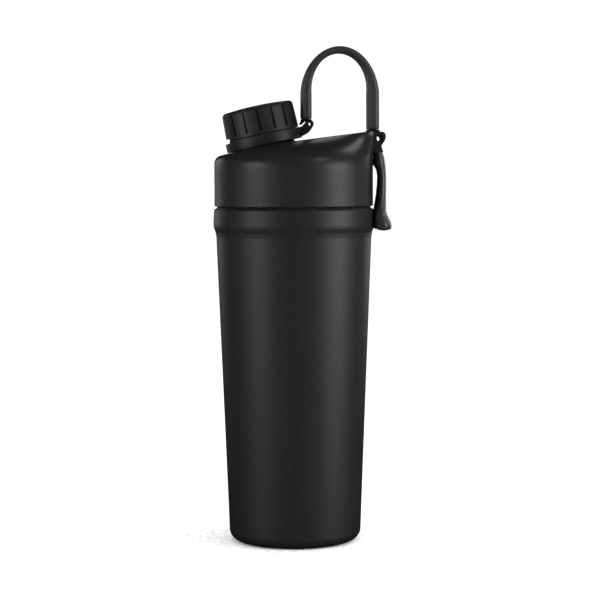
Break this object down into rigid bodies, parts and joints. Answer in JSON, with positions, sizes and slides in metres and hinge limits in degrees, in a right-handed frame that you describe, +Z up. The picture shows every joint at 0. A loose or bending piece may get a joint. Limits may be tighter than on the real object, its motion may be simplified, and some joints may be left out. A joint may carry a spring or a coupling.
{
  "type": "shaker bottle",
  "caption": "Insulated steel shaker bottle with a screw lid, a leaning spout under a ribbed screw cap, a carry strap loop and a swinging rear clip.",
  "frame": {"origin": "centre of the flat base on the bottle's own axis, on the surface the bottle stands on", "axes": "+Z up along the bottle's axis; -X towards the spout and cap, +X towards the horn and rear clip; +Y follows by the right-hand rule"},
  "size_m": [0.0997, 0.09, 0.2761],
  "materials": {
    "powder_coat": "fine satin powder coat, near black",
    "bare_steel": "bare drawn stainless steel",
    "lid_plastic": "moulded black plastic, satin skirt and glossier dome",
    "cap_plastic": "satin moulded black plastic",
    "clip_plastic": "glossy moulded black plastic",
    "grid_plastic": "moulded plastic",
    "strap_rubber": "soft satin moulded rubber",
    "silicone": "grey silicone",
    "pin_steel": "dark rolled steel"
  },
  "bodies": {
    "bottle": {"outer_shell": "powder_coat", "base_plate": "powder_coat", "inner_liner": "bare_steel", "mixing_grid": "grid_plastic"},
    "lid_seal": {"lid_gasket": "silicone"},
    "lid": {"lid_insert": "cap_plastic", "lid_shell": "lid_plastic", "rear_pin": "pin_steel", "carry_strap": "strap_rubber", "rear_tongue": "lid_plastic"},
    "collar": {"tether_collar": "cap_plastic", "front_pin": "pin_steel", "front_tongue": "lid_plastic"},
    "cap": {"cap_shell": "cap_plastic", "cap_liner": "silicone"},
    "clip": {"rear_clip": "clip_plastic"}
  },
  "joints": [
    {"name": "lid_lift", "type": "slide", "parent": "bottle", "child": "lid_seal", "axis": [0, 0, 1], "range_m": [0, 0.0076]},
    {"name": "lid_turn", "type": "hinge", "parent": "lid_seal", "child": "lid", "pos_m": [0, 0, 0.2], "axis": [0, 0, 1], "range_deg": [0, 540]},
    {"name": "cap_lift", "type": "slide", "parent": "lid", "child": "collar", "axis": [-0.2062, 0, 0.9785], "range_m": [0, 0.0071], "deforming": ["carry_strap"]},
    {"name": "cap_turn", "type": "hinge", "parent": "collar", "child": "cap", "pos_m": [-0.01595, 0, 0.22145], "axis": [-0.2062, 0, 0.9785], "range_deg": [0, 720]},
    {"name": "clip_swing", "type": "hinge", "parent": "lid", "child": "clip", "pos_m": [0.0473, 0, 0.2249], "axis": [0, -1, 0], "range_deg": [0, 110]}
  ],
  "couplings": [
    {"joint": "lid_lift", "follows": "lid_turn", "m_per_rad": 0.00079577},
    {"joint": "cap_lift", "follows": "cap_turn", "m_per_rad": 0.00055704}
  ]
}
